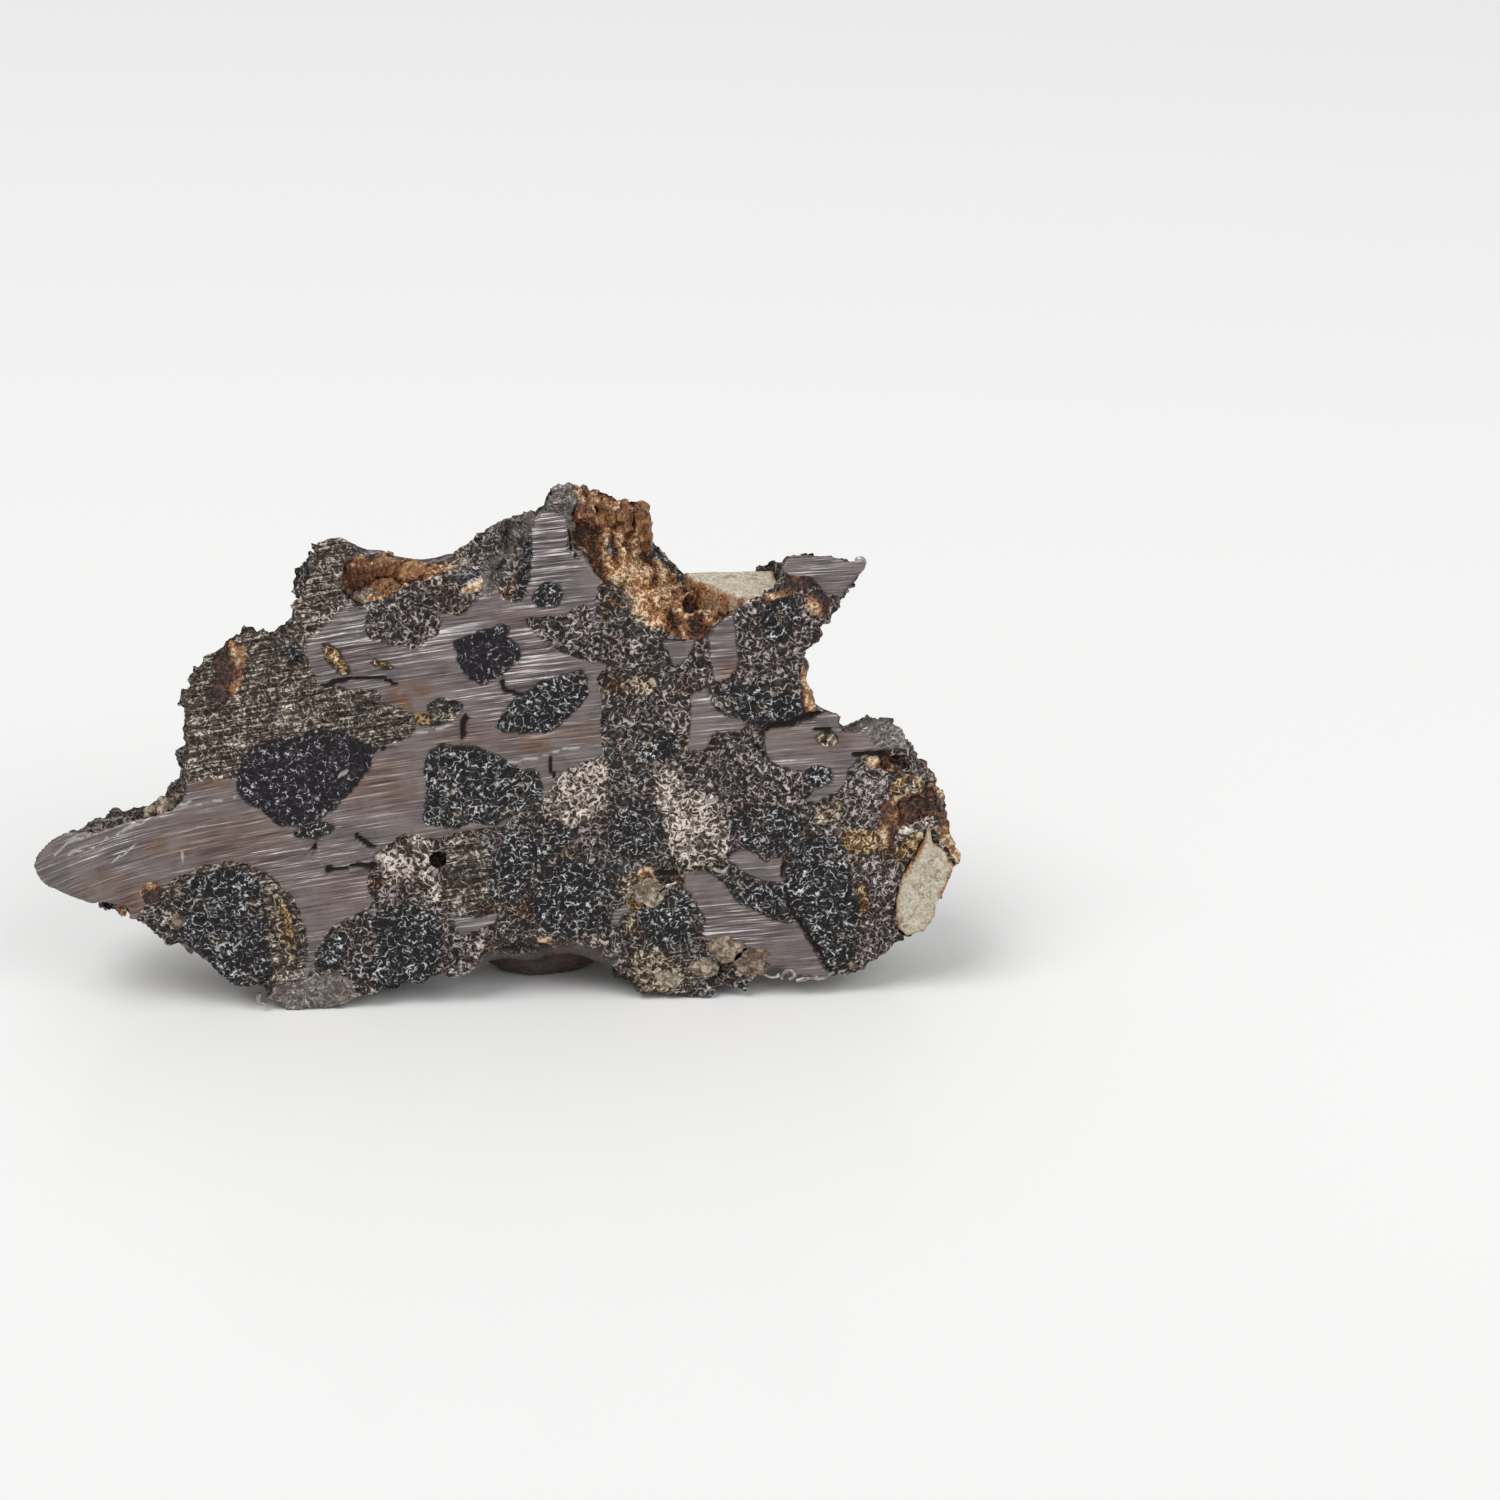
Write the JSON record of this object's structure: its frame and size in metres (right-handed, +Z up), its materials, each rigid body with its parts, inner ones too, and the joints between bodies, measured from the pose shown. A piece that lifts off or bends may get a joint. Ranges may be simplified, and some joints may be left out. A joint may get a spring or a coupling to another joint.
{
  "type": "pallasite meteorite slice",
  "caption": "Small sawn slice of stony-iron meteorite: grey metal with dark olivine crystals, two flat saw-cut faces and a craggy, rusty broken rim",
  "frame": {"origin": "Middle of the base of the bounding box, on the surface that the slice stands on", "axes": "+X along the length of the slice, from its pointed left end to its blunt right end; +Y from the front saw cut to the back saw cut; +Z up"},
  "size_m": [0.0214, 0.0028, 0.0125],
  "materials": {
    "nickel_iron": "saw-marked grey nickel-iron with dark weathered olivine and rust",
    "dark_olivine": "dark, granular, glinting olivine",
    "pale_olivine": "clear to cloudy pale olivine crystal",
    "rust": "orange-brown iron oxide crust"
  },
  "bodies": {
    "root": {"meteorite_slice": "nickel_iron"}
  },
  "joints": []
}
